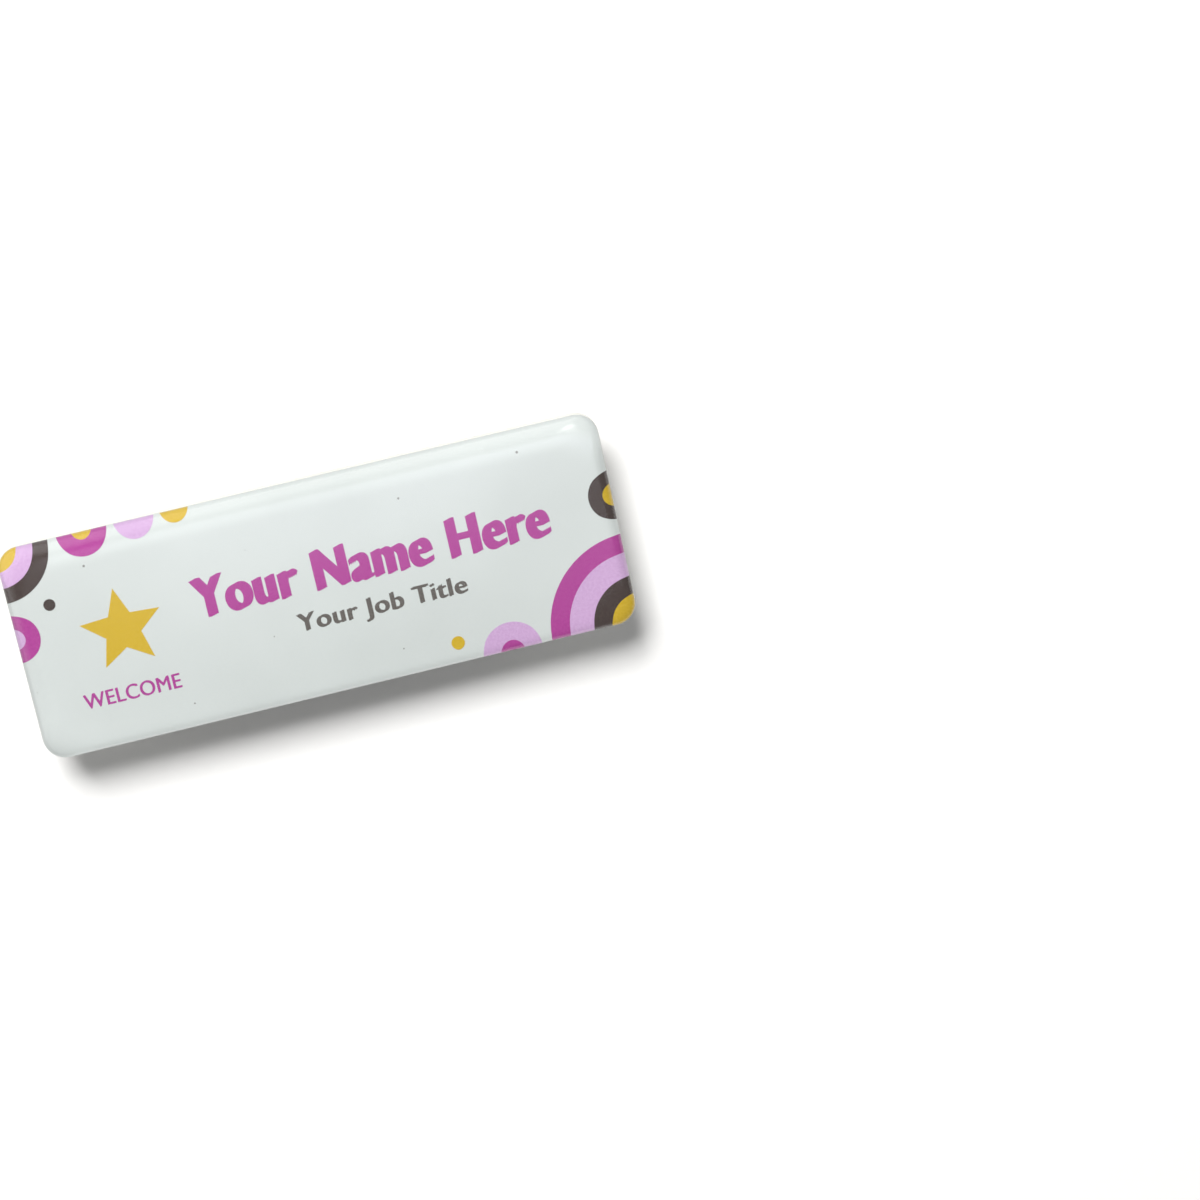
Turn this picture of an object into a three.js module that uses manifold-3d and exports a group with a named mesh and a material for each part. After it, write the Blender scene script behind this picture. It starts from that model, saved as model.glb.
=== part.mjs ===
// A name badge, lying face up on its magnet bar. A clear resin dome covers the printed face of a plastic plate.
// A steel plate is stuck under it with foam, and the bar's magnets hold on to that plate through the cloth.
// Millimetres, +Z up, X along the badge's length. The origin is under the middle of the bar, where it rests.
import * as THREE from 'three';
import { mergeVertices } from 'three/addons/utils/BufferGeometryUtils.js';
import Module from 'manifold-3d';

const wasm = await Module();
wasm.setup();

// Badge
const badgeLength = 72;
const badgeWidth = 26;
const badgeCorner = 2.7;
const plateThickness = 1.2;
const plateEdge = 0.12; // tiny chamfer around both faces of the plate
const faceThickness = 0.2;
const faceInset = 0.12; // the printed face stops this far inside the plate's edge

// Resin dome
const rimRun = 2.4; // how far in from the edge the rounded rim reaches
const rimHeight = 1.5;
const rimSweep = 84; // degrees of the rim's quarter ellipse that are used, so that it runs on into the crown
const domeCorner = 2.1; // corner radius where the rim ends
const crownHeight = 0.35; // how much higher the middle is than the rim's inner end
const domeWrap = 0.08; // the resin's edge stands this far inside the plate's edge

// Fitting on the back
const layerGap = 0.04; // between layers that touch or are glued
const foamThickness = 0.9;
const foamInset = 0.4; // foam's edge inside the steel plate's
const steelThickness = 0.9;
const steelInset = 0.2; // steel plate's edge inside the bar's
const steelCorner = 2;

// Magnet bar
const barLength = 45;
const barWidth = 13;
const barHeight = 5;
const barCorner = 2.2;
const barEdge = 0.7; // radius around the outer face
const flangeHeight = 1.2; // the straight-sided part next to the steel plate
const recessMouth = 15; // finger recess in the middle of each long side
const recessFloor = 11.8;
const recessDepth = 1;
const notchMouth = 4.2; // wavy notch in the middle of each end
const notchDepth = 0.85;

// Teeth in the side recesses, on the flange
const teethPerSide = 3;
const toothLength = 3.7;
const toothReach = 0.8;
const toothHeight = 0.4;
const toothPitch = 4.7;

// Shallow marks in the bar's outer face: two rows of grip lines and a ring near each end
const markDepth = 0.15;
const lineRows = 2;
const linesPerRow = 9;
const linePitch = 1.9;
const lineWidth = 0.5;
const lineLength = 1.9;
const lineRowPitch = 3;
const ringRadius = 2.6;
const ringWidth = 0.45;

// Magnets
const magnetWall = 0.75; // plastic between a magnet's pocket and the bottom of the side recess
const magnetEndWall = 2; // and between the outer magnets' pockets and the end notches
const magnetThickness = 2;
const magnetClearance = 0.15;
const magnetSink = 0.05; // magnet's face below the bar's inner face

// Fineness of round shapes
const cornerSteps = 8;
const rimSteps = 7;
const crownScales = [0.86, 0.66, 0.4, 0.15]; // shares of the rim's inner outline, for the rings of the crown
const edgeSteps = 3;
const roundSides = 32;
const overcut = 1; // cutting tools run this far past the faces that they cut

// Heights, from the floor up
const barTop = barHeight;
const steelBottom = barTop + layerGap;
const foamBottom = steelBottom + steelThickness + layerGap;
const plateBottom = foamBottom + foamThickness + layerGap;
const faceBottom = plateBottom + plateThickness + layerGap;
const domeBottom = faceBottom + faceThickness + layerGap;

function roundedOutline(length, width, corner) {
  const shape = new THREE.Shape();
  const x = length / 2 - corner;
  const y = width / 2 - corner;
  [[x, y], [-x, y], [-x, -y], [x, -y]].forEach(([cx, cy], quarter) => {
    shape.absarc(cx, cy, corner, (quarter * Math.PI) / 2, ((quarter + 1) * Math.PI) / 2);
  });
  return shape;
}

// The bar's outline, one long side and one end for each turn. Only the outer part has the side recesses.
function barOutline(withRecess) {
  const shape = new THREE.Shape();
  const x = barLength / 2;
  const y = barWidth / 2;
  const wave = notchMouth / 4;
  for (const turn of [1, -1]) {
    const start = turn > 0 ? 0 : Math.PI;
    if (turn > 0) {
      shape.moveTo(x, -notchMouth / 2);
    } else {
      shape.lineTo(-x, notchMouth / 2);
    }
    const bottom = x - notchDepth;
    shape.bezierCurveTo(turn * x, -turn * wave, turn * bottom, -turn * wave, turn * bottom, 0);
    shape.bezierCurveTo(turn * bottom, turn * wave, turn * x, turn * wave, turn * x, (turn * notchMouth) / 2);
    shape.absarc(turn * (x - barCorner), turn * (y - barCorner), barCorner, start, start + Math.PI / 2);
    if (withRecess) {
      shape.lineTo((turn * recessMouth) / 2, turn * y);
      shape.lineTo((turn * recessFloor) / 2, turn * (y - recessDepth));
      shape.lineTo((-turn * recessFloor) / 2, turn * (y - recessDepth));
      shape.lineTo((-turn * recessMouth) / 2, turn * y);
    }
    shape.absarc(-turn * (x - barCorner), turn * (y - barCorner), barCorner, start + Math.PI / 2, start + Math.PI);
  }
  return shape;
}

// A flat piece with the given outline, from bottom to top, with edges cut back by edge at both faces
function slab(outline, bottom, top, edge = 0, steps = 1) {
  const geometry = new THREE.ExtrudeGeometry(outline, {
    depth: top - bottom - 2 * edge,
    curveSegments: cornerSteps,
    bevelEnabled: edge > 0,
    bevelSize: edge,
    bevelThickness: edge,
    bevelOffset: -edge,
    bevelSegments: steps,
  });
  return geometry.translate(0, 0, bottom + edge);
}

function disc(radius, bottom, top, x = 0) {
  const geometry = new THREE.CylinderGeometry(radius, radius, top - bottom, roundSides);
  return geometry.rotateX(Math.PI / 2).translate(x, 0, (bottom + top) / 2);
}

function ring(radius, width, bottom, top, x) {
  const profile = [
    [radius - width / 2, bottom],
    [radius + width / 2, bottom],
    [radius + width / 2, top],
    [radius - width / 2, top],
    [radius - width / 2, bottom],
  ].map(([r, z]) => new THREE.Vector2(r, z));
  return new THREE.LatheGeometry(profile, roundSides).rotateX(Math.PI / 2).translate(x, 0, 0);
}

// A closed body through rings of points that all have the same count, closed flat below and to a point above
function loft(rings, lowest, highest) {
  const count = rings[0].length;
  const points = [...rings.flat(), lowest, highest];
  const bottomPoint = points.length - 2;
  const topPoint = points.length - 1;
  const lastRing = (rings.length - 1) * count;
  const faces = [];
  for (let i = 0; i < count; i += 1) {
    const next = (i + 1) % count;
    faces.push(bottomPoint, next, i);
    faces.push(topPoint, lastRing + i, lastRing + next);
    for (let level = 0; level < rings.length - 1; level += 1) {
      const low = level * count;
      const high = low + count;
      faces.push(low + i, low + next, high + next);
      faces.push(low + i, high + next, high + i);
    }
  }
  const geometry = new THREE.BufferGeometry().setFromPoints(points);
  geometry.setIndex(faces);
  return geometry;
}

function solid(geometry) {
  const bare = geometry.clone();
  bare.deleteAttribute('normal');
  bare.deleteAttribute('uv');
  const merged = mergeVertices(bare, 1e-4);
  return new wasm.Manifold(
    new wasm.Mesh({
      numProp: 3,
      vertProperties: new Float32Array(merged.attributes.position.array),
      triVerts: new Uint32Array(merged.index.array),
    }),
  );
}

function geometryOf(body) {
  const mesh = body.getMesh();
  const geometry = new THREE.BufferGeometry();
  geometry.setAttribute('position', new THREE.BufferAttribute(mesh.vertProperties, 3));
  geometry.setIndex(new THREE.BufferAttribute(mesh.triVerts, 1));
  geometry.computeVertexNormals();
  return geometry;
}

// The resin: a quarter ellipse around the rim, then a low crown over the middle
function domeGeometry() {
  const length = badgeLength - 2 * domeWrap;
  const width = badgeWidth - 2 * domeWrap;
  const ringAt = (inset, height, corner) =>
    roundedOutline(length - 2 * inset, width - 2 * inset, corner)
      .getPoints(cornerSteps)
      .map((point) => new THREE.Vector3(point.x, point.y, domeBottom + height));
  const sweep = THREE.MathUtils.degToRad(rimSweep);
  const rings = [];
  for (let step = 0; step <= rimSteps; step += 1) {
    const angle = (sweep * step) / rimSteps;
    const share = 1 - Math.cos(angle);
    const corner = THREE.MathUtils.lerp(badgeCorner - domeWrap, domeCorner, share);
    rings.push(ringAt(rimRun * share, rimHeight * Math.sin(angle), corner));
  }
  const rimEnd = rings[rings.length - 1];
  const rimTop = rimEnd[0].z;
  for (const scale of crownScales) {
    const height = rimTop + crownHeight * (1 - scale * scale);
    rings.push(rimEnd.map((point) => new THREE.Vector3(point.x * scale, point.y * scale, height)));
  }
  return loft(rings, new THREE.Vector3(0, 0, domeBottom), new THREE.Vector3(0, 0, rimTop + crownHeight));
}

const pocketRadius = barWidth / 2 - recessDepth - magnetWall;
const magnetRadius = pocketRadius - magnetClearance;
const magnetPitch = barLength / 2 - notchDepth - magnetEndWall - pocketRadius;
const magnetPlaces = [-magnetPitch, 0, magnetPitch];
const magnetTop = barTop - magnetSink;
const magnetBottom = magnetTop - magnetThickness;

function barGeometry() {
  const flangeBottom = barTop - flangeHeight;
  let body = solid(slab(barOutline(true), 0, flangeBottom + barEdge, barEdge, edgeSteps));
  body = body.add(solid(slab(barOutline(false), flangeBottom, barTop)));

  const recessWall = barWidth / 2 - recessDepth;
  for (const side of [1, -1]) {
    for (let i = 0; i < teethPerSide; i += 1) {
      const middle = (i - (teethPerSide - 1) / 2) * toothPitch;
      const tooth = new THREE.Shape([
        new THREE.Vector2(middle - toothLength / 2, side * (recessWall - barEdge)),
        new THREE.Vector2(middle - toothLength / 2, side * recessWall),
        new THREE.Vector2(middle, side * (recessWall + toothReach)),
        new THREE.Vector2(middle + toothLength / 2, side * recessWall),
        new THREE.Vector2(middle + toothLength / 2, side * (recessWall - barEdge)),
      ]);
      body = body.add(solid(slab(tooth, flangeBottom - toothHeight, flangeBottom + flangeHeight / 2)));
    }
  }

  for (const x of magnetPlaces) {
    body = body.subtract(solid(disc(pocketRadius, magnetBottom - magnetClearance, barTop + overcut, x)));
  }
  for (const x of [-magnetPitch, magnetPitch]) {
    body = body.subtract(solid(ring(ringRadius, ringWidth, -overcut, markDepth, x)));
  }
  for (let row = 0; row < lineRows; row += 1) {
    for (let i = 0; i < linesPerRow; i += 1) {
      const line = new THREE.BoxGeometry(lineWidth, lineLength, overcut + markDepth);
      const x = (i - (linesPerRow - 1) / 2) * linePitch;
      const y = (row - (lineRows - 1) / 2) * lineRowPitch;
      body = body.subtract(solid(line.translate(x, y, (markDepth - overcut) / 2)));
    }
  }
  return geometryOf(body);
}

const badge = new THREE.Group();

function addPiece(name, geometry, color, roughness, metalness = 0) {
  const piece = new THREE.Mesh(geometry, new THREE.MeshStandardMaterial({ color, roughness, metalness }));
  piece.name = name;
  badge.add(piece);
  return piece;
}

const steelLength = barLength - 2 * steelInset;
const steelWidth = barWidth - 2 * steelInset;

const dome = addPiece('dome', domeGeometry(), 0xf4f7f8, 0.05);
dome.material.transparent = true;
dome.material.opacity = 0.35;

addPiece(
  'printed_face',
  slab(
    roundedOutline(badgeLength - 2 * faceInset, badgeWidth - 2 * faceInset, badgeCorner - faceInset),
    faceBottom,
    faceBottom + faceThickness,
  ),
  0xe4e8ea,
  0.4,
);
addPiece(
  'base_plate',
  slab(
    roundedOutline(badgeLength, badgeWidth, badgeCorner),
    plateBottom,
    plateBottom + plateThickness,
    plateEdge,
  ),
  0xe2e2dd,
  0.45,
);
addPiece(
  'foam_pad',
  slab(
    roundedOutline(steelLength - 2 * foamInset, steelWidth - 2 * foamInset, steelCorner - foamInset),
    foamBottom,
    foamBottom + foamThickness,
  ),
  0x77787a,
  0.9,
);
addPiece(
  'steel_plate',
  slab(
    roundedOutline(steelLength, steelWidth, steelCorner),
    steelBottom,
    steelBottom + steelThickness,
    plateEdge,
  ),
  0xc4c6c8,
  0.3,
  1,
);
addPiece('magnet_bar', barGeometry(), 0x1b1918, 0.5);
magnetPlaces.forEach((x, i) => {
  addPiece(`magnet_${i + 1}`, disc(magnetRadius, magnetBottom, magnetTop, x), 0xb9bcc0, 0.25, 1);
});

export default badge;
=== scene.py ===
import math

import bmesh
import bpy
from mathutils import Matrix, Quaternion, Vector


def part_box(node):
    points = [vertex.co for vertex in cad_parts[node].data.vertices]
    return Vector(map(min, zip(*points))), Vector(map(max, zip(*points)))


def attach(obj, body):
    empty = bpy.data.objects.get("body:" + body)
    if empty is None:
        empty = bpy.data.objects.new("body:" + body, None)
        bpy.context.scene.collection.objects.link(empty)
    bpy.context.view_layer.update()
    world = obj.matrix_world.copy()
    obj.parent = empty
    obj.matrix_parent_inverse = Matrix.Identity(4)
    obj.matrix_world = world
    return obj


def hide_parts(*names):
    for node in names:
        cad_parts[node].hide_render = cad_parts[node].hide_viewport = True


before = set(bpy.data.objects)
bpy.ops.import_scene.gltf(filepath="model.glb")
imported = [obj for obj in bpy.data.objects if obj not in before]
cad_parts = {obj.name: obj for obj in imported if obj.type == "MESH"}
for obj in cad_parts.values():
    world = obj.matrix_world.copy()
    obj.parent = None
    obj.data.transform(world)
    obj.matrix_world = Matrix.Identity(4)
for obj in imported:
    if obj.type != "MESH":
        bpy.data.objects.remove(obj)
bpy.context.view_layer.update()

# A printed name badge under a resin dome, lying face up on the magnet bar that holds it to clothing.
# Sizes in the dictionaries are millimetres unless they say otherwise. mm() makes them Blender's metres.


def mm(*sizes):
    if len(sizes) == 1:
        return sizes[0] * 0.001
    return Vector(size * 0.001 for size in sizes)


# Picking and shaping

def leaveAll():
    if bpy.context.object and bpy.context.object.mode != "OBJECT":
        bpy.ops.object.mode_set(mode="OBJECT")
    bpy.ops.object.select_all(action="DESELECT")


def pickPiece(piece):
    leaveAll()
    piece.select_set(True)
    bpy.context.view_layer.objects.active = piece


def editPiece(piece):
    pickPiece(piece)
    bpy.ops.object.mode_set(mode="EDIT")


def pickFaces(piece, test):  # test gets each face's middle and normal
    bpy.ops.mesh.select_mode(type="FACE")
    bpy.ops.mesh.select_all(action="DESELECT")
    mesh = bmesh.from_edit_mesh(piece.data)
    for face in mesh.faces:
        face.select_set(test(face.calc_center_median(), face.normal))
    bmesh.update_edit_mesh(piece.data)


def pickEdges(piece, test):  # test gets each edge's two ends and the normals of its faces
    bpy.ops.mesh.select_mode(type="EDGE")
    bpy.ops.mesh.select_all(action="DESELECT")
    mesh = bmesh.from_edit_mesh(piece.data)
    for edge in mesh.edges:
        normals = [face.normal for face in edge.link_faces]
        edge.select_set(test(edge.verts[0].co, edge.verts[1].co, normals))
    bmesh.update_edit_mesh(piece.data)


def near(a, b, slack=0.00001):
    return abs(a - b) < slack


def isVertical(a, b):
    return near(a.x, b.x) and near(a.y, b.y) and not near(a.z, b.z)


def applyPlace(piece):
    pickPiece(piece)
    bpy.ops.object.transform_apply(location=True, rotation=True, scale=True)


def applyModifier(piece, kind, **settings):
    pickPiece(piece)
    bpy.ops.object.modifier_add(type=kind)
    modifier = piece.modifiers[-1]
    for name, value in settings.items():
        setattr(modifier, name, value)
    bpy.ops.object.modifier_apply(modifier=modifier.name)


def combine(piece, tool, operation):  # cut away, join or keep what they share, then throw the tool away
    applyModifier(piece, "BOOLEAN", operation=operation, solver="EXACT", object=tool)
    bpy.data.objects.remove(tool)


def block(name, low, high):
    leaveAll()
    bpy.ops.mesh.primitive_cube_add(size=1, location=(low + high) / 2, scale=high - low)
    piece = bpy.context.object
    piece.name = name
    applyPlace(piece)
    return piece


def disc(name, x, y, radius, lowZ, highZ, sides=64):
    leaveAll()
    bpy.ops.mesh.primitive_cylinder_add(
        vertices=sides, radius=radius, depth=highZ - lowZ, location=(x, y, (lowZ + highZ) / 2),
    )
    piece = bpy.context.object
    piece.name = name
    applyPlace(piece)
    return piece


def roundedSlab(name, low, high, corner, steps=16):  # a slab whose upright edges are rounded
    piece = block(name, low, high)
    editPiece(piece)
    pickEdges(piece, lambda a, b, normals: isVertical(a, b))
    bpy.ops.mesh.bevel(offset=corner, segments=steps, affect="EDGES", clamp_overlap=False)
    leaveAll()
    return piece


def roundFaceEdges(piece, heights, size, steps):  # soften the outline of the flat faces at these heights
    editPiece(piece)

    def onOutline(a, b, normals):
        level = any(near(a.z, z) and near(b.z, z) for z in heights)
        flat = [abs(normal.z) > 0.99 for normal in normals]
        return level and any(flat) and not all(flat)

    pickEdges(piece, onOutline)
    bpy.ops.mesh.bevel(offset=size, segments=steps, affect="EDGES", clamp_overlap=False)
    leaveAll()


def finishPiece(piece, body, material, replaced=(), angle=35):
    pickPiece(piece)
    bpy.ops.object.shade_smooth_by_angle(angle=math.radians(angle))
    piece.data.materials.clear()
    piece.data.materials.append(material)
    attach(piece, body)
    if replaced:
        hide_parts(*replaced)


# Materials

def colour(text):  # sRGB hex to linear
    parts = [int(text[i:i + 2], 16) / 255 for i in (1, 3, 5)]
    linear = [p / 12.92 if p <= 0.04045 else ((p + 0.055) / 1.055) ** 2.4 for p in parts]
    return (*linear, 1)


def perMillimetre(size):  # texture scale that repeats about every size millimetres
    return 1 / mm(size)


def addNode(tree, kind, values=None, links=None, **settings):
    node = tree.nodes.new(kind)
    for name, value in settings.items():
        setattr(node, name, value)
    for name, value in (values or {}).items():
        node.inputs[name].default_value = value
    for name, source in (links or {}).items():
        tree.links.new(source, node.inputs[name])
    return node


def newMaterial(name):
    material = bpy.data.materials.new(name)
    material.use_nodes = True
    tree = material.node_tree
    tree.nodes.clear()
    place = addNode(tree, "ShaderNodeTexCoord").outputs["Object"]
    return material, tree, place


def addOutput(tree, shader):
    addNode(tree, "ShaderNodeOutputMaterial", links={"Surface": shader.outputs[0]})


def mixColours(tree, factor, first, second):
    mix = addNode(tree, "ShaderNodeMix", data_type="RGBA")
    tree.links.new(factor, mix.inputs[0])
    for socket, value in ((mix.inputs[6], first), (mix.inputs[7], second)):
        if isinstance(value, str):
            socket.default_value = colour(value)
        else:
            tree.links.new(value, socket)
    return mix.outputs[2]


resinLook = {
    "ior": 1.5, "roughness": 0.15, "waveSize": 9, "waveDepth": 0.006,
    "squareOn": 0.1, "slanted": 0.65, "slantedLight": 0.2,
}


def castResin():
    # Cast polyurethane: self-levelled, so it mirrors the room softly, with slow ripples too shallow to feel
    material, tree, place = newMaterial("castPolyurethane")
    ripple = addNode(
        tree, "ShaderNodeTexNoise", {"Scale": perMillimetre(resinLook["waveSize"]), "Detail": 1.0},
        {"Vector": place},
    )
    bump = addNode(
        tree, "ShaderNodeBump", {"Strength": 1.0, "Distance": mm(resinLook["waveDepth"])},
        {"Height": ripple.outputs["Fac"]},
    )
    resin = addNode(
        tree, "ShaderNodeBsdfPrincipled",
        {
            "Base Color": (1, 1, 1, 1), "Roughness": resinLook["roughness"], "IOR": resinLook["ior"],
            "Transmission Weight": 1.0,
        },
        {"Normal": bump.outputs["Normal"]},
    )
    # Light reaches the print straight through, less of it where it meets the resin at a slant
    slant = addNode(tree, "ShaderNodeLayerWeight", {"Blend": 0.5})
    through = addNode(
        tree, "ShaderNodeMapRange",
        {
            "From Min": resinLook["squareOn"], "From Max": resinLook["slanted"], "To Min": 1.0,
            "To Max": resinLook["slantedLight"],
        },
        {"Value": slant.outputs["Facing"]},
    )
    air = addNode(tree, "ShaderNodeBsdfTransparent", links={"Color": through.outputs[0]})
    path = addNode(tree, "ShaderNodeLightPath")
    straight = addNode(
        tree, "ShaderNodeMath",
        links={0: path.outputs["Is Shadow Ray"], 1: path.outputs["Is Diffuse Ray"]}, operation="MAXIMUM",
    )
    addOutput(tree, addNode(
        tree, "ShaderNodeMixShader",
        links={0: straight.outputs[0], 1: resin.outputs[0], 2: air.outputs[0]},
    ))
    return material


def resinBond():
    # Where the resin has bonded to the print nothing bends or mirrors the light
    material, tree, place = newMaterial("resinBond")
    addOutput(tree, addNode(tree, "ShaderNodeBsdfTransparent"))
    return material


vinylLook = {
    "white": "#DFE6E4", "shade": "#D7DEDC", "speck": "#9A9B98", "mottle": 14, "grain": 0.28,
    "grainShare": 0.45, "palest": 0.45, "deepest": 1.0, "speckSpacing": 13, "speckShare": 0.012,
    "roughness": 0.6, "shine": 0.05,
}


def printedVinyl():
    # Matt white print film: a faint mottle, the scatter of a digital print and rare dust specks. The real
    # print dots are too fine to show, so the scatter is drawn about 0.3 mm wide
    material, tree, place = newMaterial("printedVinyl")
    mottle = addNode(
        tree, "ShaderNodeTexNoise", {"Scale": perMillimetre(vinylLook["mottle"]), "Detail": 2.0},
        {"Vector": place},
    )
    grain = addNode(
        tree, "ShaderNodeTexNoise", {"Scale": perMillimetre(vinylLook["grain"]), "Detail": 1.0},
        {"Vector": place},
    )
    blend = addNode(
        tree, "ShaderNodeMath", {1: vinylLook["grainShare"]},
        {0: grain.outputs["Fac"], 2: mottle.outputs["Fac"]}, operation="MULTIPLY_ADD",
    )
    spread = addNode(
        tree, "ShaderNodeMapRange", {"From Min": vinylLook["palest"], "From Max": vinylLook["deepest"]},
        {"Value": blend.outputs[0]},
    )
    film = mixColours(tree, spread.outputs[0], vinylLook["white"], vinylLook["shade"])
    cells = addNode(
        tree, "ShaderNodeTexVoronoi", {"Scale": perMillimetre(vinylLook["speckSpacing"])},
        {"Vector": place}, voronoi_dimensions="2D",
    )
    channels = addNode(tree, "ShaderNodeSeparateColor", links={"Color": cells.outputs["Color"]})
    reach = addNode(
        tree, "ShaderNodeMath", {1: vinylLook["speckShare"]}, {0: channels.outputs[0]}, operation="MULTIPLY",
    )
    speck = addNode(
        tree, "ShaderNodeMath", links={0: cells.outputs["Distance"], 1: reach.outputs[0]},
        operation="LESS_THAN",
    )
    specked = mixColours(tree, speck.outputs[0], film, vinylLook["speck"])
    shader = addNode(
        tree, "ShaderNodeBsdfPrincipled",
        {"Roughness": vinylLook["roughness"], "Specular IOR Level": vinylLook["shine"]},
        {"Base Color": specked},
    )
    addOutput(tree, shader)
    return material


inkLook = {"grain": 0.3, "deepest": 0.38, "lightest": 0.62, "roughness": 0.6, "shine": 0.05}


def printInk(name, deep, light):
    # Solvent ink on film: flat and matt, with the scatter of the print head in the colour, as coarse as above
    material, tree, place = newMaterial(name)
    grain = addNode(
        tree, "ShaderNodeTexNoise", {"Scale": perMillimetre(inkLook["grain"]), "Detail": 2.0},
        {"Vector": place},
    )
    spread = addNode(
        tree, "ShaderNodeMapRange", {"From Min": inkLook["deepest"], "From Max": inkLook["lightest"]},
        {"Value": grain.outputs["Fac"]},
    )
    ink = mixColours(tree, spread.outputs[0], deep, light)
    shader = addNode(
        tree, "ShaderNodeBsdfPrincipled",
        {"Roughness": inkLook["roughness"], "Specular IOR Level": inkLook["shine"]}, {"Base Color": ink},
    )
    addOutput(tree, shader)
    return material


absIor = 1.53
sheetLook = {
    "pale": "#DADAD4", "deep": "#CCCDC7", "cloud": 22, "shinier": 0.36, "duller": 0.5,
    "pebble": 0.5, "pebbleDepth": 0.012, "bump": 0.5,
    "scratchWidth": 0.8, "scratchStretch": 0.03, "scratchTurn": 0.4, "scratchFrom": 0.68, "scratchTo": 0.74,
    "scratchDepth": 1.5,
}


def whiteAbs():
    # Satin ABS sheet: soft broad sheen, a faint pebble from the roller and a few long hair scratches, all
    # drawn wider than the real ones so that they show
    material, tree, place = newMaterial("satinWhiteAbs")
    cloud = addNode(
        tree, "ShaderNodeTexNoise", {"Scale": perMillimetre(sheetLook["cloud"]), "Detail": 3.0},
        {"Vector": place},
    )
    tint = mixColours(tree, cloud.outputs["Fac"], sheetLook["pale"], sheetLook["deep"])
    pebble = addNode(
        tree, "ShaderNodeTexNoise", {"Scale": perMillimetre(sheetLook["pebble"]), "Detail": 2.0},
        {"Vector": place},
    )
    along = addNode(
        tree, "ShaderNodeMapping",
        {"Scale": (sheetLook["scratchStretch"], 1, 1), "Rotation": (0, 0, sheetLook["scratchTurn"])},
        {"Vector": place},
    )
    hair = addNode(
        tree, "ShaderNodeTexNoise", {"Scale": perMillimetre(sheetLook["scratchWidth"]), "Detail": 1.0},
        {"Vector": along.outputs[0]},
    )
    scratch = addNode(
        tree, "ShaderNodeMapRange",
        {"From Min": sheetLook["scratchFrom"], "From Max": sheetLook["scratchTo"]},
        {"Value": hair.outputs["Fac"]},
    )
    height = addNode(
        tree, "ShaderNodeMath", {1: -sheetLook["scratchDepth"]},
        {0: scratch.outputs[0], 2: pebble.outputs["Fac"]}, operation="MULTIPLY_ADD",
    )
    bump = addNode(
        tree, "ShaderNodeBump", {"Strength": sheetLook["bump"], "Distance": mm(sheetLook["pebbleDepth"])},
        {"Height": height.outputs[0]},
    )
    dull = addNode(
        tree, "ShaderNodeMapRange", {"To Min": sheetLook["shinier"], "To Max": sheetLook["duller"]},
        {"Value": cloud.outputs["Fac"]},
    )
    shader = addNode(
        tree, "ShaderNodeBsdfPrincipled", {"IOR": absIor},
        {"Base Color": tint, "Roughness": dull.outputs[0], "Normal": bump.outputs[0]},
    )
    addOutput(tree, shader)
    return material


housingLook = {
    "deep": "#110E0C", "pale": "#181411", "cloud": 7, "shinier": 0.38, "duller": 0.52,
    "grain": 0.22, "grainDepth": 0.02, "bump": 0.6,
}


def blackAbs():
    # Moulded black ABS: fine spark-eroded grain, which spreads the light to a soft brownish sheen
    material, tree, place = newMaterial("mouldedBlackAbs")
    grain = addNode(
        tree, "ShaderNodeTexNoise", {"Scale": perMillimetre(housingLook["grain"]), "Detail": 3.0},
        {"Vector": place},
    )
    cloud = addNode(
        tree, "ShaderNodeTexNoise", {"Scale": perMillimetre(housingLook["cloud"]), "Detail": 2.0},
        {"Vector": place},
    )
    tint = mixColours(tree, cloud.outputs["Fac"], housingLook["deep"], housingLook["pale"])
    dull = addNode(
        tree, "ShaderNodeMapRange", {"To Min": housingLook["shinier"], "To Max": housingLook["duller"]},
        {"Value": cloud.outputs["Fac"]},
    )
    bump = addNode(
        tree, "ShaderNodeBump",
        {"Strength": housingLook["bump"], "Distance": mm(housingLook["grainDepth"])},
        {"Height": grain.outputs["Fac"]},
    )
    shader = addNode(
        tree, "ShaderNodeBsdfPrincipled", {"IOR": absIor},
        {"Base Color": tint, "Roughness": dull.outputs[0], "Normal": bump.outputs[0]},
    )
    addOutput(tree, shader)
    return material


nickelLook = {"deep": "#C4C2BD", "pale": "#D6D4CF", "shinier": 0.18, "duller": 0.34, "bump": 0.3}
sheetGrain = {"size": 0.35, "stretch": 0.04, "depth": 0.006}
magnetGrain = {"size": 2.5, "stretch": 1.0, "depth": 0.004}


def nickelPlate(name, finish):
    # Nickel plating: bright and slightly warm. Sheet keeps its rolled grain, and a pressed magnet is dull in
    # patches, where it has clapped against steel
    material, tree, place = newMaterial(name)
    along = addNode(tree, "ShaderNodeMapping", {"Scale": (finish["stretch"], 1, 1)}, {"Vector": place})
    grain = addNode(
        tree, "ShaderNodeTexNoise", {"Scale": perMillimetre(finish["size"]), "Detail": 3.0},
        {"Vector": along.outputs[0]},
    )
    tint = mixColours(tree, grain.outputs["Fac"], nickelLook["deep"], nickelLook["pale"])
    dull = addNode(
        tree, "ShaderNodeMapRange", {"To Min": nickelLook["shinier"], "To Max": nickelLook["duller"]},
        {"Value": grain.outputs["Fac"]},
    )
    bump = addNode(
        tree, "ShaderNodeBump", {"Strength": nickelLook["bump"], "Distance": mm(finish["depth"])},
        {"Height": grain.outputs["Fac"]},
    )
    shader = addNode(
        tree, "ShaderNodeBsdfPrincipled", {"Metallic": 1.0},
        {"Base Color": tint, "Roughness": dull.outputs[0], "Normal": bump.outputs[0]},
    )
    addOutput(tree, shader)
    return material


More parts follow.
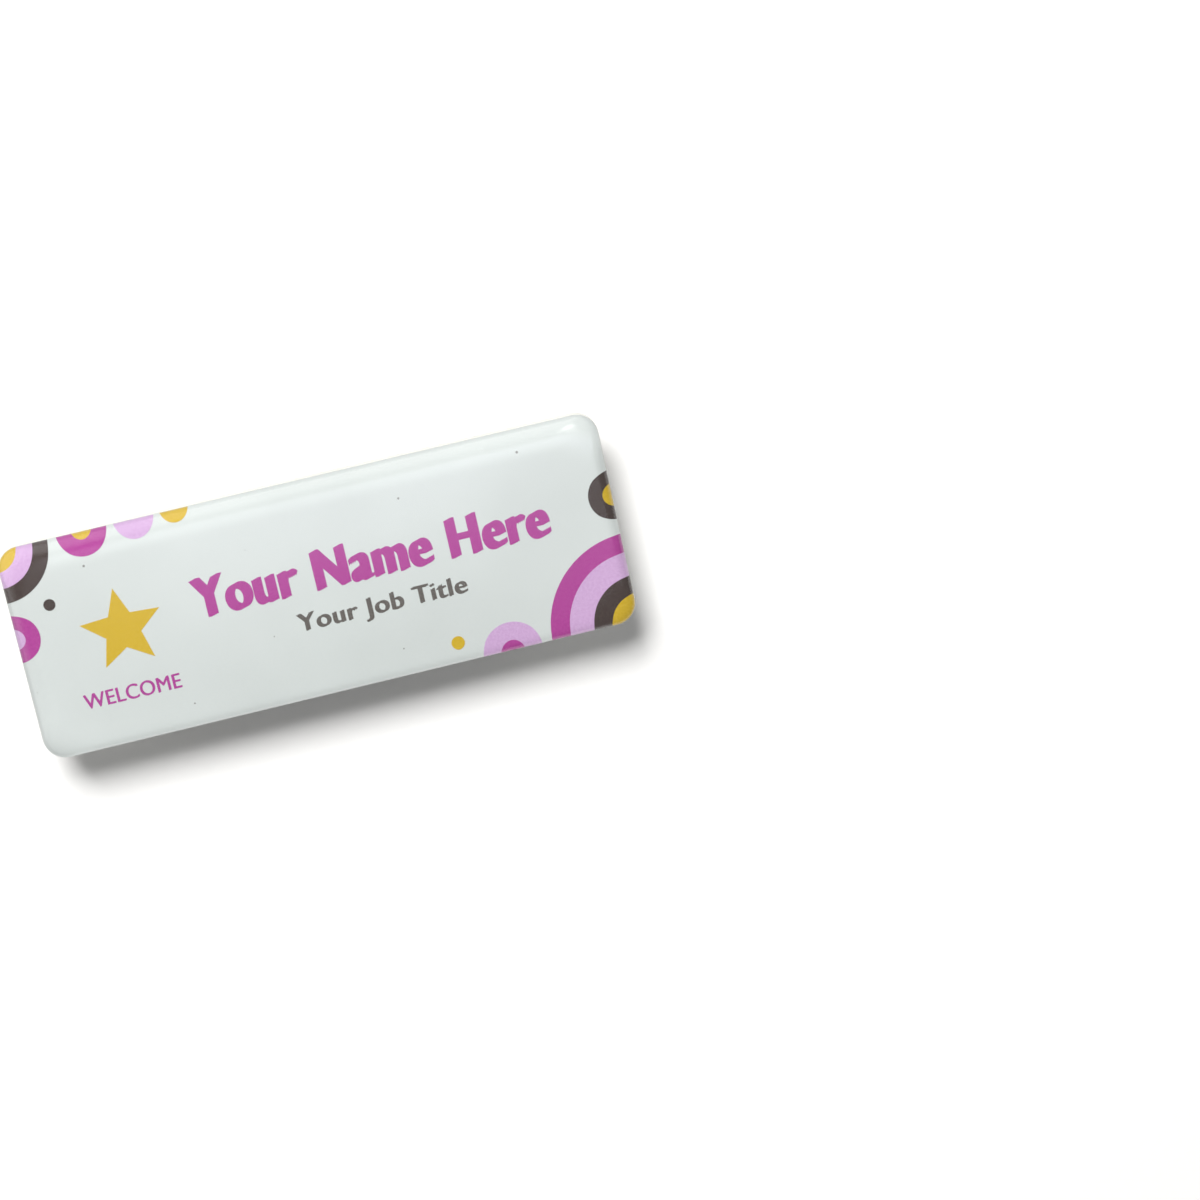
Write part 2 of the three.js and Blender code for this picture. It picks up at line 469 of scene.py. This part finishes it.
foamLook = {
    "hollow": "#5A5B5D", "wall": "#8C8E90", "cell": 0.22, "cellDepth": 0.05, "bump": 0.9, "roughness": 0.9,
}


def foamTape():
    # Closed-cell foam: matt grey, with its cells cut open along the edge
    material, tree, place = newMaterial("closedCellFoam")
    cells = addNode(
        tree, "ShaderNodeTexVoronoi", {"Scale": perMillimetre(foamLook["cell"])}, {"Vector": place},
    )
    tint = mixColours(tree, cells.outputs["Distance"], foamLook["hollow"], foamLook["wall"])
    bump = addNode(
        tree, "ShaderNodeBump", {"Strength": foamLook["bump"], "Distance": mm(foamLook["cellDepth"])},
        {"Height": cells.outputs["Distance"]},
    )
    shader = addNode(
        tree, "ShaderNodeBsdfPrincipled", {"Roughness": foamLook["roughness"]},
        {"Base Color": tint, "Normal": bump.outputs[0]},
    )
    addOutput(tree, shader)
    return material


cardLook = {"deep": "#FAFAF9", "pale": "#FDFDFC", "fibre": 1.2, "roughness": 0.9, "shine": 0.1}


def paleFloor():
    # Uncoated white card: matt, with a barely visible cloud of fibres
    material, tree, place = newMaterial("whiteCard")
    fibre = addNode(
        tree, "ShaderNodeTexNoise", {"Scale": perMillimetre(cardLook["fibre"]), "Detail": 3.0},
        {"Vector": place},
    )
    tint = mixColours(tree, fibre.outputs["Fac"], cardLook["deep"], cardLook["pale"])
    shader = addNode(
        tree, "ShaderNodeBsdfPrincipled",
        {"Roughness": cardLook["roughness"], "Specular IOR Level": cardLook["shine"]}, {"Base Color": tint},
    )
    addOutput(tree, shader)
    return material


inks = {
    "magenta": printInk("magentaInk", "#B14899", "#B84EA0"),
    "lilac": printInk("lilacInk", "#D2ACD9", "#D9B6E0"),
    "gold": printInk("goldInk", "#D4B233", "#DBBA3D"),
    "charcoal": printInk("charcoalInk", "#4B413F", "#514744"),
    "grey": printInk("greyInk", "#67635F", "#706C68"),
}
print("materials for print and ink are ready")


# Camera, at the photo's angle to the face: tilted to the print's upper side and turned in the picture

cameraPlan = {"from": (0.1, 74.9, 395.3), "at": (31.86, -9.61, 8.0), "rollDegrees": 12.55, "lens": 100}


def addCamera(plan):
    place = mm(*plan["from"])
    forward = (mm(*plan["at"]) - place).normalized()
    right = forward.cross(Vector((0, 1, 0))).normalized()
    up = right.cross(forward)
    up.rotate(Quaternion(forward, math.radians(plan["rollDegrees"])))
    right = forward.cross(up)
    leaveAll()
    bpy.ops.object.camera_add(location=place)
    camera = bpy.context.object
    camera.name = "photoCamera"
    turn = Matrix((right, up, -forward)).transposed()
    camera.matrix_world = Matrix.Translation(place) @ turn.to_4x4()
    camera.data.sensor_width = 36
    camera.data.lens = plan["lens"]
    camera.data.clip_start = 0.01
    bpy.context.scene.camera = camera


addCamera(cameraPlan)
print("camera is set")


# Resin dome

# The rim rises as a quarter of an ellipse, rimRun wide and rimHeight high, to innerCorner at its upper end.
# Inside it the face swells by crown, over rings at crownScales of the rim's upper edge.
domePlan = {
    "corner": 2.62, "cornerSteps": 20, "innerCorner": 4.5,
    "rimRun": 2.4, "rimHeight": 1.5, "rimSweepDegrees": 84, "rimSteps": 14,
    "crown": 0.35, "crownScales": [0.95, 0.88, 0.79, 0.68, 0.55, 0.4, 0.22], "sideStep": 3.0,
}


def drawIn(vert, last, ring):  # slide one point of a ring onto the next ring: (reach in x, in y, corner)
    flatX, flatY = last[0] - last[2], last[1] - last[2]
    newX, newY = ring[0] - ring[2], ring[1] - ring[2]
    x, y = abs(vert.co.x), abs(vert.co.y)
    if x > flatX and y > flatY:
        angle = math.atan2(y - flatY, x - flatX)
        x, y = newX + ring[2] * math.cos(angle), newY + ring[2] * math.sin(angle)
    elif y > flatY:
        x, y = x * newX / flatX, ring[1]
    else:
        x, y = ring[0], y * newY / flatY
    vert.co.x = math.copysign(x, vert.co.x)
    vert.co.y = math.copysign(y, vert.co.y)


def buildDome(plan):
    low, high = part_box("dome")
    steps = plan["rimSteps"]
    rings = []  # from the foot up: reach in x, reach in y, corner, height
    for step in range(steps + 1):
        angle = math.radians(plan["rimSweepDegrees"]) * step / steps
        inset = mm(plan["rimRun"]) * (1 - math.cos(angle))
        share = inset / mm(plan["rimRun"])
        corner = mm(plan["corner"] + (plan["innerCorner"] - plan["corner"]) * share)
        rings.append((high.x - inset, high.y - inset, corner, mm(plan["rimHeight"]) * math.sin(angle)))
    edge = rings[-1]
    rings += [(edge[0] * s, edge[1] * s, edge[2] * s, edge[3]) for s in plan["crownScales"]]

    dome = roundedSlab(
        "resinDome", low, Vector((high.x, high.y, low.z + rings[1][3])), mm(plan["corner"]),
        plan["cornerSteps"],
    )
    editPiece(dome)
    for direction, reach in ((Vector((1, 0, 0)), rings[0][0]), (Vector((0, 1, 0)), rings[0][1])):
        count = int((reach - mm(plan["corner"])) / mm(plan["sideStep"]))
        for i in range(-count, count + 1):  # points along the straight sides
            bpy.ops.mesh.select_all(action="SELECT")
            bpy.ops.mesh.bisect(
                plane_co=direction * i * mm(plan["sideStep"]), plane_no=direction, threshold=1e-7,
            )
    for side in (1, -1):
        pickFaces(dome, lambda middle, normal: normal.z * side > 0.9)
        bpy.ops.mesh.dissolve_faces()
    pickFaces(dome, lambda middle, normal: normal.z > 0.9)
    for i in range(1, len(rings)):
        if i > 1:
            rise = rings[i][3] - rings[i - 1][3]
            bpy.ops.mesh.extrude_region_move(TRANSFORM_OT_translate={"value": (0, 0, rise)})
        mesh = bmesh.from_edit_mesh(dome.data)
        for vert in mesh.verts:
            if vert.select:
                drawIn(vert, rings[i - 1], rings[i])
        bmesh.update_edit_mesh(dome.data)
    mesh = bmesh.from_edit_mesh(dome.data)  # the middle swells to a low crown
    for vert in mesh.verts:
        if vert.co.z > low.z + edge[3] - mm(0.001):
            share = (1 - (vert.co.x / edge[0]) ** 2) * (1 - (vert.co.y / edge[1]) ** 2)
            vert.co.z += mm(plan["crown"]) * max(share, 0)
    bmesh.update_edit_mesh(dome.data)
    finishPiece(dome, "badge_side", castResin(), ["dome"], angle=60)
    dome.data.materials.append(resinBond())
    for face in dome.data.polygons:
        if face.normal.z < -0.9:
            face.material_index = 1


buildDome(domePlan)
print("resin dome is built")


# Print: film, ornament at the corners and edges, star and lettering

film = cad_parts["printed_face"]
film.data.materials.clear()
film.data.materials.append(printedVinyl())

# Inks lie lift above the film and stop bleedInside from its edge
inkPlan = {
    "lift": 0.008, "thickness": 0.015, "bleedInside": 0.02, "corner": 2.52, "roundSteps": 96, "cutOver": 1,
}
filmLow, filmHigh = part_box("printed_face")
inkLow = filmHigh.z + mm(inkPlan["lift"])
inkHigh = inkLow + mm(inkPlan["thickness"])


def finishInk(piece, ink):
    finishPiece(piece, "badge_side", inks[ink], angle=20)


def printBand(name, ink, x, y, inner, outer):
    # A full round, or a ring if it has an inner radius, trimmed where it runs off the film
    over = mm(inkPlan["cutOver"])
    sides = inkPlan["roundSteps"]
    band = disc(name, mm(x), mm(y), mm(outer), inkLow, inkHigh, sides)
    if inner:
        hole = disc("holeCutter", mm(x), mm(y), mm(inner), inkLow - over, inkHigh + over, sides)
        combine(band, hole, "DIFFERENCE")
    inside = mm(inkPlan["bleedInside"])
    low = Vector((filmLow.x + inside, filmLow.y + inside, inkLow - over))
    high = Vector((filmHigh.x - inside, filmHigh.y - inside, inkHigh + over))
    if mm(abs(x) + outer) > high.x or mm(abs(y) + outer) > high.y:
        area = roundedSlab("printArea", low, high, mm(inkPlan["corner"]))
        combine(band, area, "INTERSECT")
    finishInk(band, ink)


# Rounds at two corners and along the edges: x, y, then rings from the middle out as (ink, outer radius)
ornament = {
    "cornerRight": (36, -13, [("gold", 3.4), ("charcoal", 5.6), ("lilac", 8.5), ("magenta", 10.8)]),
    "bottomEdge": (20.4, -13, [("magenta", 1.5), ("lilac", 3.6)]),
    "rightEdge": (36, 2.6, [("gold", 1.4), ("charcoal", 3.0)]),
    "cornerLeft": (-36, 13, [("gold", 2.7), ("lilac", 4.6), ("charcoal", 6.4)]),
    "topEdgeA": (-25.6, 13, [("gold", 1.2), ("magenta", 3.0)]),
    "topEdgeB": (-19.4, 13, [("lilac", 2.4)]),
    "topEdgeC": (-14.6, 13, [("gold", 1.7)]),
    "leftEdge": (-36, 2.2, [("lilac", 1.3), ("magenta", 2.9)]),
    "dotA": (14.2, -10.4, [("gold", 0.8)]),
    "dotB": (-31.2, 5.4, [("charcoal", 0.7)]),
}
for place, (x, y, rings) in ornament.items():
    inner = 0
    for ink, outer in rings:
        printBand(f"{place}_{ink}", ink, x, y, inner, outer)
        inner = outer

starPlan = {"x": -23.7, "y": 0.6, "points": 5, "outer": 5.0, "innerShare": 0.44}


def printStar(plan):
    x, y = mm(plan["x"]), mm(plan["y"])
    point = 360 / plan["points"]
    star = disc("starEmblem", x, y, mm(plan["outer"]), inkLow, inkHigh, 2 * plan["points"])
    editPiece(star)
    mesh = bmesh.from_edit_mesh(star.data)
    bpy.ops.mesh.select_mode(type="VERT")
    bpy.ops.mesh.select_all(action="DESELECT")
    for vert in mesh.verts:  # the corners halfway between two points are drawn in
        turn = math.degrees(math.atan2(vert.co.x - x, vert.co.y - y)) % point
        vert.select_set(near(turn, point / 2, 1))
    bmesh.update_edit_mesh(star.data)
    inward = plan["innerShare"]
    bpy.ops.transform.resize(value=(inward, inward, 1), center_override=(x, y, inkLow))
    leaveAll()
    finishInk(star, "gold")


printStar(starPlan)

# Lettering: words, ink, middle and foot of the line, height of its capitals, its width, and how much
# heavier than the font its strokes are
lettering = {
    "nameLine": ("Your Name Here", "magenta", 6.6, -0.4, 5.2, 43.0, 0.75),
    "titleLine": ("Your Job Title", "grey", 6.6, -4.7, 2.3, 20.5, 0.26),
    "greetingLine": ("WELCOME", "magenta", -24.3, -7.8, 1.9, 11.6, 0.1),
}
# capitalShare is a capital's height in the font. Heavy strokes are printed several times: layer is one
# printing's thickness, apart the gap to the next, step the farthest it may shift, rise how much of that goes
# upwards, and spread how far the letters move apart for it.
letterPlan = {
    "capitalShare": 0.73, "curveSteps": 8, "layer": 0.006, "apart": 0.001, "step": 0.26, "rise": 0.3,
    "spread": 0.7,
}


def printWords(name, words, ink, x, y, capital, width, weight):
    leaveAll()
    bpy.ops.object.text_add()
    line = bpy.context.object
    line.name = name
    line.data.body = words
    line.data.align_x = "CENTER"
    line.data.size = (capital - weight * letterPlan["rise"]) / letterPlan["capitalShare"]
    line.data.extrude = letterPlan["layer"] / 2
    line.data.space_character = 1 + letterPlan["spread"] * weight / capital
    line.data.resolution_u = letterPlan["curveSteps"]
    bpy.ops.object.convert(target="MESH")
    line = bpy.context.object
    stretch = (width - weight) / line.dimensions.x
    foot = inkLow + mm(letterPlan["layer"]) / 2
    line.location = (mm(x - weight / 2), mm(y), foot)
    line.scale = (mm(stretch), mm(1), mm(1))
    applyPlace(line)
    editPiece(line)
    bpy.ops.mesh.select_all(action="SELECT")
    bpy.ops.mesh.remove_doubles(threshold=1e-7)
    bpy.ops.mesh.normals_make_consistent(inside=False)
    again = math.ceil(weight / letterPlan["step"])
    for i in range(again):  # each further printing lies on the last, a little aside
        up = letterPlan["layer"] + letterPlan["apart"]
        shift = mm(weight / again, weight / again * letterPlan["rise"], up)
        bpy.ops.mesh.duplicate_move(TRANSFORM_OT_translate={"value": shift})
    leaveAll()
    finishInk(line, ink)


for name, settings in lettering.items():
    printWords(name, *settings)
print("print is laid on the film")


# Backing plate, steel plate and the foam between them: corner, and how much the edges are rounded

platePlan = {
    "backingPlate": {"corner": 2.7, "edge": 0.12},
    "steelPlate": {"corner": 2.0, "edge": 0.12},
    "foamPad": {"corner": 1.6, "edge": 0.1},
    "edgeSteps": 3,
}


def buildPlate(name, node, material):
    low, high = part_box(node)
    plate = roundedSlab(name, low, high, mm(platePlan[name]["corner"]))
    roundFaceEdges(plate, (low.z, high.z), mm(platePlan[name]["edge"]), platePlan["edgeSteps"])
    finishPiece(plate, "badge_side", material, [node])


buildPlate("backingPlate", "base_plate", whiteAbs())
buildPlate("steelPlate", "steel_plate", nickelPlate("nickelPlatedSheet", sheetGrain))
buildPlate("foamPad", "foam_pad", foamTape())
print("plates and foam are built")


# Magnet bar

# The flange is left whole above each long side's recess, and the teeth hang from it. Cutters reach over past
# the bar, and slack is how far from its planned place an edge is still found.
barPlan = {
    "corner": 2.2, "cornerSteps": 12, "edge": 0.7, "edgeSteps": 6, "innerEdge": 0.12, "innerEdgeSteps": 2,
    "flange": 1.2,
    "recess": {"mouth": 15, "floor": 11.8, "depth": 1.0, "round": 0.5, "roundSteps": 6},
    "notch": {"mouth": 4.0, "floor": 1.5, "depth": 0.85, "round": 0.55, "roundSteps": 8},
    "toothLength": 3.7, "toothReach": 0.8, "toothHeight": 0.4, "toothPitch": 4.7, "teeth": 3,
    "toothRoot": 0.3, "toothRound": 0.1, "toothRoundSteps": 2,
    "markDepth": 0.15, "markWidth": 0.5, "markSides": 24, "lines": 9, "linePitch": 1.9, "lineLength": 1.9,
    "rowPitch": 3, "ringRadius": 2.6, "ringSteps": 64,
    "pocketClearance": 0.15, "over": 1.0, "slack": 0.1,
}
magnetNodes = ("magnet_1", "magnet_2", "magnet_3")


def magnetSeat(node):  # a magnet's middle, radius, foot and top, from its CAD piece
    low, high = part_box(node)
    return (low.x + high.x) / 2, (high.x - low.x) / 2, low.z, high.z


def cutDip(bar, plan, edgeX, edgeY, side, lowZ, highZ):
    # A dip with a narrower floor, in a long side (edgeX is 0) or in an end (edgeY is 0)
    depth = mm(plan["depth"])
    half = mm(plan["floor"]) / 2
    across = max(edgeX, edgeY)
    inner, outer = sorted((side * (across - depth), side * (across + depth)))
    grow = (2 * plan["mouth"] - plan["floor"]) / plan["floor"]
    if edgeX:
        tool = block("dipCutter", Vector((inner, -half, lowZ)), Vector((outer, half, highZ)))
    else:
        tool = block("dipCutter", Vector((-half, inner, lowZ)), Vector((half, outer, highZ)))
    editPiece(tool)
    pickFaces(tool, lambda middle, normal: (normal.x if edgeX else normal.y) * side > 0.9)
    scale = (1, grow, 1) if edgeX else (grow, 1, 1)
    bpy.ops.transform.resize(value=scale, center_override=(0, 0, 0))
    leaveAll()
    combine(bar, tool, "DIFFERENCE")


def bevelUprights(piece, size, steps, test):  # round the upright edges that the test picks by their place
    editPiece(piece)
    pickEdges(piece, lambda a, b, normals: isVertical(a, b) and test(abs(a.x), abs(a.y)))
    bpy.ops.mesh.bevel(offset=mm(size), segments=steps, affect="EDGES", clamp_overlap=False)
    leaveAll()


def addTeeth(bar, high, plan):
    flange = high.z - mm(plan["flange"])
    crest = flange - mm(plan["toothHeight"])
    wall = high.y - mm(plan["recess"]["depth"])
    root = mm(plan["toothRoot"])
    reach = mm(plan["toothReach"])
    half = mm(plan["toothLength"]) / 2 * (reach + root) / reach
    for side in (1, -1):
        for i in range(plan["teeth"]):
            x = mm((i - (plan["teeth"] - 1) / 2) * plan["toothPitch"])
            inner = side * (wall - root)
            tip = side * (wall + reach)
            tooth = block(
                "tooth",
                Vector((x - half, min(inner, tip), crest)),
                Vector((x + half, max(inner, tip), flange + root)),
            )
            editPiece(tooth)
            pickFaces(tooth, lambda middle, normal: normal.y * side > 0.9)
            bpy.ops.transform.resize(value=(0, 1, 1), center_override=(x, 0, 0))
            bpy.ops.mesh.select_all(action="SELECT")
            bpy.ops.mesh.remove_doubles(threshold=1e-7)
            pickEdges(tooth, lambda a, b, normals: near(a.z, crest) and near(b.z, crest))
            bpy.ops.mesh.bevel(
                offset=mm(plan["toothRound"]), segments=plan["toothRoundSteps"], affect="EDGES",
            )
            leaveAll()
            combine(bar, tooth, "UNION")


def cutMarks(bar, low, plan):
    # Round-bottomed grooves: two rows of short lines for grip, and a ring over each outer magnet
    radius = mm((plan["markWidth"] ** 2 / 4 + plan["markDepth"] ** 2) / (2 * plan["markDepth"]))
    level = low.z + mm(plan["markDepth"]) - radius
    for row in (-0.5, 0.5):
        for i in range(plan["lines"]):
            x = mm((i - (plan["lines"] - 1) / 2) * plan["linePitch"])
            leaveAll()
            bpy.ops.mesh.primitive_cylinder_add(
                vertices=plan["markSides"], radius=radius, depth=mm(plan["lineLength"]),
                location=(x, mm(row * plan["rowPitch"]), level), rotation=(math.pi / 2, 0, 0),
            )
            line = bpy.context.object
            applyPlace(line)
            combine(bar, line, "DIFFERENCE")
    for node in (magnetNodes[0], magnetNodes[-1]):
        x = magnetSeat(node)[0]
        leaveAll()
        bpy.ops.mesh.primitive_torus_add(
            major_radius=mm(plan["ringRadius"]), major_segments=plan["ringSteps"],
            minor_radius=radius, minor_segments=plan["markSides"], location=(x, 0, level),
        )
        ring = bpy.context.object
        applyPlace(ring)
        combine(bar, ring, "DIFFERENCE")


def buildBar(plan):
    low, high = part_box("magnet_bar")
    over = mm(plan["over"])
    bar = block("magnetHousing", low, high)
    for side in (1, -1):
        cutDip(bar, plan["recess"], 0, high.y, side, low.z - over, high.z - mm(plan["flange"]))
        cutDip(bar, plan["notch"], high.x, 0, side, low.z - over, high.z + over)
    slack = mm(plan["slack"])
    endX, sideY = high.x - slack, high.y - slack
    notch, recess = plan["notch"], plan["recess"]
    bevelUprights(bar, plan["corner"], plan["cornerSteps"], lambda x, y: x > endX and y > sideY)
    bevelUprights(
        bar, notch["round"], notch["roundSteps"],
        lambda x, y: x > endX - mm(notch["depth"]) and y < mm(notch["mouth"]) / 2 + slack,
    )
    bevelUprights(
        bar, recess["round"], recess["roundSteps"],
        lambda x, y: x < mm(recess["mouth"]) / 2 + slack and y > sideY - mm(recess["depth"]),
    )
    roundFaceEdges(bar, [low.z], mm(plan["edge"]), plan["edgeSteps"])
    roundFaceEdges(bar, [high.z], mm(plan["innerEdge"]), plan["innerEdgeSteps"])
    addTeeth(bar, high, plan)
    clear = mm(plan["pocketClearance"])
    for node in magnetNodes:
        x, radius, foot, top = magnetSeat(node)
        pocket = disc("pocketCutter", x, 0, radius + clear, foot - clear, high.z + over)
        combine(bar, pocket, "DIFFERENCE")
    cutMarks(bar, low, plan)
    finishPiece(bar, "magnet_side", blackAbs(), ["magnet_bar"], angle=32)


buildBar(barPlan)
print("magnet bar is built")


# Magnets, sunk in the bar's inner face

magnetPlan = {"edge": 0.2, "edgeSteps": 3, "sides": 72}
magnetPlating = nickelPlate("nickelPlatedMagnet", magnetGrain)
for node in magnetNodes:
    x, radius, foot, top = magnetSeat(node)
    magnet = disc(node.replace("_", "Disc"), x, 0, radius, foot, top, magnetPlan["sides"])
    roundFaceEdges(magnet, (foot, top), mm(magnetPlan["edge"]), magnetPlan["edgeSteps"])
    finishPiece(magnet, "magnet_side", magnetPlating, [node])
print("magnets are built")


# Floor and light

floorPlan = {"size": 4000}
leaveAll()
bpy.ops.mesh.primitive_plane_add(size=mm(floorPlan["size"]))
floor = bpy.context.object
floor.name = "floorCard"
floor.data.materials.append(paleFloor())

# One softbox, which lights but isn't mirrored: place, what it faces, width and height, watts, colour
softboxPlan = {
    "from": (-210, 690, 955), "at": (0, 0, 8), "size": (480, 465), "watts": 18.3, "tint": "#FEFDFC",
}
leaveAll()
bpy.ops.object.light_add(type="AREA", location=mm(*softboxPlan["from"]))
softbox = bpy.context.object
softbox.name = "keySoftbox"
facing = mm(*softboxPlan["at"]) - mm(*softboxPlan["from"])
softbox.rotation_euler = facing.to_track_quat("-Z", "Y").to_euler()
softbox.data.shape = "RECTANGLE"
softbox.data.size, softbox.data.size_y = (mm(side) for side in softboxPlan["size"])
softbox.data.energy = softboxPlan["watts"]
softbox.data.color = colour(softboxPlan["tint"])[:3]
softbox.visible_glossy = False
softbox.visible_transmission = False

# A dim pale room, and what the resin mirrors of it: a soft panel overhead brightens the upper half, a bright
# wall behind the badge's upper left corner brightens the rims on that side, and a window gives the soft
# highlight at the upper right corner. Wall and window are only mirrored, and lightingShare of the panel
# lights the scene too. Directions are the parts of a unit vector.
roomPlan = {
    "fill": 0.207, "panel": 2.2, "wall": 2.1, "window": 9.0, "lightingShare": 0.3,
    "tint": "#FBFBFA", "panelTint": "#EBEBFF",
}
panelPlan = {
    "foot": -0.28, "middle": -0.04, "end": 0.3, "left": -0.3, "right": 0.1, "lowest": 0.6, "level": 0.8,
}
wallPlan = {"towards": (-0.66, 0.751, 0), "near": 0.2, "far": 0.62, "lowest": -0.02, "level": 0.1}
windowPlan = {"x": 0.24, "reachX": 0.16, "y": 0.45, "reachY": 0.3, "lowest": 0, "level": 0.8}
world = bpy.data.worlds.new("softRoom")
bpy.context.scene.world = world
world.use_nodes = True
tree = world.node_tree
tree.nodes.clear()
look = addNode(tree, "ShaderNodeTexCoord").outputs["Generated"]
lookX, lookY, lookZ = addNode(tree, "ShaderNodeSeparateXYZ", links={0: look}).outputs
mirrored = addNode(tree, "ShaderNodeLightPath").outputs["Is Glossy Ray"]
panelShare = addNode(
    tree, "ShaderNodeMapRange", {"To Min": roomPlan["lightingShare"], "To Max": 1.0}, {"Value": mirrored},
).outputs[0]


def fade(value, start, end):  # 0 at start, 1 at end, smooth between
    return addNode(
        tree, "ShaderNodeMapRange", {"From Min": start, "From Max": end}, {"Value": value},
        interpolation_type="SMOOTHSTEP",
    ).outputs[0]


def times(*factors):
    product = factors[0]
    for factor in factors[1:]:
        product = addNode(
            tree, "ShaderNodeMath", links={0: product, 1: factor}, operation="MULTIPLY",
        ).outputs[0]
    return product


def plus(amount, factor, base):
    return addNode(
        tree, "ShaderNodeMath", {1: factor}, {0: amount, 2: base}, operation="MULTIPLY_ADD",
    ).outputs[0]


panel = times(
    fade(lookY, panelPlan["foot"], panelPlan["middle"]),
    fade(lookY, panelPlan["end"], panelPlan["middle"]),
    fade(lookX, panelPlan["left"], panelPlan["right"]),
    fade(lookZ, panelPlan["lowest"], panelPlan["level"]),
    panelShare,
)
facingWall = addNode(
    tree, "ShaderNodeVectorMath", {1: wallPlan["towards"]}, {0: look}, operation="DOT_PRODUCT",
).outputs["Value"]
wall = times(
    fade(facingWall, wallPlan["near"], wallPlan["far"]),
    fade(lookZ, wallPlan["lowest"], wallPlan["level"]),
    mirrored,
)
window = times(
    fade(lookX, windowPlan["x"] - windowPlan["reachX"], windowPlan["x"]),
    fade(lookX, windowPlan["x"] + windowPlan["reachX"], windowPlan["x"]),
    fade(lookY, windowPlan["y"] - windowPlan["reachY"], windowPlan["y"]),
    fade(lookY, windowPlan["y"] + windowPlan["reachY"], windowPlan["y"]),
    fade(lookZ, windowPlan["lowest"], windowPlan["level"]),
    mirrored,
)
strength = addNode(
    tree, "ShaderNodeMath", {1: roomPlan["panel"], 2: roomPlan["fill"]}, {0: panel},
    operation="MULTIPLY_ADD",
).outputs[0]
strength = plus(wall, roomPlan["wall"], strength)
strength = plus(window, roomPlan["window"], strength)
tint = mixColours(tree, panel, roomPlan["tint"], roomPlan["panelTint"])
room = addNode(tree, "ShaderNodeBackground", links={"Color": tint, "Strength": strength})
addNode(tree, "ShaderNodeOutputWorld", links={"Surface": room.outputs[0]})
bpy.context.scene.view_settings.view_transform = "Standard"
print("floor and lamps are set")
